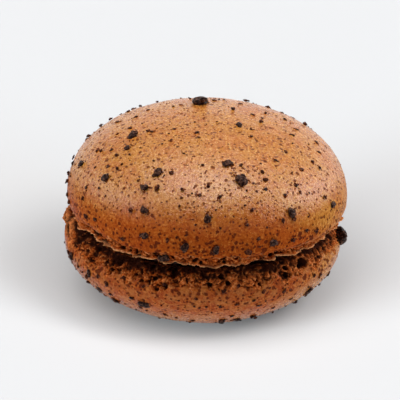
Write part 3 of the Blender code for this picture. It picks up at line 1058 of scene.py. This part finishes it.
def baked_finish():
    """Almond shell: fine leathery skin on the dome, open crumb on the foot. The dome has a soft sheen,
    and the skin towards the foot and the foot itself are matt. The colour holds painted shade low on
    the dome, in the foot's pits, on the lower foot's wall and on the undersides, and painted light at
    the left and right ends, on the foot's tips and along the upper lip."""
    finish = Finish(bpy.data.materials.new("baked_almond"))
    place = finish.place()
    foot = finish.attribute("foot_share")
    pit_shade = finish.attribute("pit_shade_share")
    patches = finish.texture(place, PATCHES)
    mottle = finish.texture(place, MOTTLE)
    leather = finish.texture(place, LEATHER)

    # lit and painted-shade copies of the skin's tones, blended up the dome by rise_share
    crown = skin_colour(finish, patches, mottle, leather, LIT_CROWN)
    rim = skin_colour(finish, patches, mottle, leather, SHADED_RIM)
    skin = finish.cover(LIT_CROWN_COVER, finish.attribute("rise_share"), rim, crown)
    gold = finish.ease(*GOLDEN_BAND, finish.texture(place, GOLD))
    skin = finish.blend(gold * finish.attribute("golden_share"), skin, GOLDEN)
    spots = burst_spots(finish, place, finish.attribute("pitted_share"), leather)
    skin = finish.blend(spots * SPOTS_MOST, skin, SPOT)

    crumb = finish.texture(place, OPEN_CRUMB)
    flecks = finish.texture(place, FLECKS)
    open_crumb = FOOT_PIT_AND_SHADE
    for cover, tone in FOOT_TONES:
        open_crumb = finish.cover(cover, crumb, open_crumb, tone)
    open_crumb = finish.cover(FLECK_COVER, flecks, open_crumb, FOOT_PIT_AND_SHADE)
    # painted shade in the pits
    open_crumb = finish.cover(FOOT_PIT_SHADE_COVER, pit_shade, open_crumb, FOOT_PIT_AND_SHADE)
    # pale tips: partly their bake, partly painted light
    open_crumb = finish.blend(finish.attribute("pale_and_lit_tip_share") * PALE_AND_LIT_TIPS_MOST, open_crumb, FOOT_PALE_AND_LIT)
    open_crumb = finish.blend(finish.attribute("shaded_share") * SHADE_MOST, open_crumb, FOOT_PIT_AND_SHADE)
    colour = finish.blend(foot, skin, open_crumb)
    colour = finish.cover(PIT_SHADE_COVER, pit_shade, colour, FOOT_PIT_AND_SHADE)
    # painted highlight along the upper lip, and the paler torn skin edge
    colour = finish.blend(finish.attribute("lip_highlight_and_pale_edge_share") * LIP_AND_EDGE_MOST, colour, LIP_HIGHLIGHT_AND_PALE_EDGE)

    height = leather * LEATHER_HEIGHT + finish.texture(place, FINE) * FINE_HEIGHT - spots * SPOT_DEPTH
    normal = finish.bump(height + foot * crumb * CRUMB_HEIGHT, SKIN_BUMP)
    finish.set("Base Color", colour)
    finish.shine(SKIN_ROUGHNESS, leather, SKIN_GLOSS)
    finish.set("Normal", normal)
    matt = {"Base Color": colour, "Roughness": MATT_ROUGHNESS, "Specular IOR Level": MATT_GLOSS}
    dull = finish.node("BsdfPrincipled", {}, {**matt, "Normal": normal})
    sheen = finish.attribute("sheen_share")
    edge = finish.ease(*ASLANT, finish.seen_aslant()) * (1.0 - foot) * finish.attribute("edge_share")
    gloss = (sheen + edge * (1.0 - sheen)) * (1.0 - spots * SPOTS_MOST)
    both = finish.node("MixShader", {}, {0: gloss, 1: dull.outputs[0], 2: finish.shader.outputs[0]})
    finish.feed(finish.tree.nodes["Material Output"].inputs["Surface"], both.outputs[0])
    return finish.holder


def dark_finish(name, surface):
    """The finish of a piece with a dark, uneven surface."""
    finish = Finish(bpy.data.materials.new(name))
    tint = TINTS[name]
    uneven = finish.texture(finish.place(), surface.texture)
    finish.set("Base Color", finish.cover(surface.cover, uneven, tint.dark, tint.light))
    finish.shine(surface.roughness, uneven, tint.gloss)
    finish.set("Normal", finish.bump(uneven, surface.bump))
    return finish.holder


def floor_finish():
    finish = Finish(bpy.data.materials.new("pale_floor"))
    finish.set("Base Color", (FLOOR_SHADE, FLOOR_SHADE, FLOOR_SHADE))
    finish.set("Roughness", FLOOR_ROUGHNESS)
    finish.set("Specular IOR Level", FLOOR_GLOSS)
    return finish.holder


# ======== stage


def place_camera():
    back = Vector((0.0, -math.cos(CAMERA_HEIGHT_ANGLE), math.sin(CAMERA_HEIGHT_ANGLE)))
    data = bpy.data.cameras.new("photo_camera")
    data.sensor_width = SENSOR_WIDTH
    data.lens = SENSOR_WIDTH * CAMERA_DISTANCE / VIEW_WIDTH
    data.clip_end = CAMERA_SIGHT
    camera = bpy.data.objects.new("photo_camera", data)
    bpy.context.scene.collection.objects.link(camera)
    look = (-back).to_track_quat("-Z", "Y").to_matrix().to_4x4()
    roll = Matrix.Rotation(CAMERA_ROLL, 4, "Z")
    camera.matrix_world = Matrix.Translation(VIEW_MIDDLE + CAMERA_DISTANCE * back) @ look @ roll
    bpy.context.scene.camera = camera


def hang(data, up, side, distance):
    """Hangs a light at an elevation over the -Y side and a bearing to +X, facing the macaron."""
    rise = math.radians(up)
    turn = math.radians(side)
    toward = Vector((math.sin(turn) * math.cos(rise), -math.cos(turn) * math.cos(rise), math.sin(rise)))
    light = bpy.data.objects.new(data.name, data)
    bpy.context.scene.collection.objects.link(light)
    look = toward.to_track_quat("Z", "Y").to_matrix().to_4x4()
    light.matrix_world = Matrix.Translation(distance * toward) @ look
    return light


def soft_box(name, panel):
    data = bpy.data.lights.new(name, "AREA")
    data.shape = "RECTANGLE"
    data.size = panel.width
    data.size_y = panel.height
    data.energy = panel.power
    return hang(data, panel.up, panel.side, panel.distance)


def wide_sun(name, wash):
    data = bpy.data.lights.new(name, "SUN")
    data.angle = math.radians(wash.across)
    data.energy = wash.strength
    data.color = wash.tint
    return hang(data, wash.up, wash.side, SUN_DISTANCE)


def flag(light, floor, state):
    """Keeps a light off the floor, or on the floor alone."""
    lit = bpy.data.collections.new(light.name + "_reach")
    lit.objects.link(floor)
    lit.collection_objects[0].light_linking.link_state = state
    light.light_linking.receiver_collection = lit


def lay_floor():
    deselect_all()
    bpy.ops.mesh.primitive_plane_add(size=FLOOR_WIDTH, location=(0, 0, 0))
    floor = bpy.context.object
    floor.name = "pale_floor"
    floor.data.materials.append(floor_finish())
    return floor


def light_the_sky():
    """A dim room over a pale surround that shows at the horizon and below it."""
    sky = Finish(bpy.data.worlds.new("studio"), "Background")
    direction = sky.node("TexCoord", {}, {}).outputs["Generated"]
    upward = sky.node("SeparateXYZ", {}, {0: direction}).outputs["Z"]
    start, end = SURROUND_TOP
    fade = {"Value": upward, "From Min": start, "From Max": end}
    fade |= {"To Min": SURROUND_LIGHT, "To Max": ROOM_LIGHT}
    sky.set("Color", (1.0, 1.0, 1.0))
    sky.set("Strength", sky.node("MapRange", {}, fade).outputs["Result"])
    bpy.context.scene.world = sky.holder


def light_the_room(floor):
    """The macaron and the floor have their own lights, as where a floor is lit through paper."""
    light_the_sky()
    for name, panel in PANELS.items():
        light = soft_box(name + "_soft_box", panel)
        light.visible_camera = False
        flag(light, floor, "EXCLUDE")
    for name, wash in WASHES.items():
        flag(wide_sun(name + "_wash", wash), floor, "INCLUDE")
    bpy.context.scene.view_settings.view_transform = "Standard"


# ======== putting it together


def main():
    baked = baked_finish()
    hand_in(baked_shell(UPPER, UPPER_FOOT, UPPER_HOLLOWS), baked, "baked_shell", UPPER.name)
    hand_in(baked_shell(LOWER, LOWER_FOOT, LOWER_HOLLOWS), baked, "baked_shell", LOWER.name)
    filling = ganache_layer()
    hand_in(filling, dark_finish(filling.name, GANACHE), "ganache", "ganache")
    crumbs_everywhere()
    light_the_room(lay_floor())
    place_camera()


main()
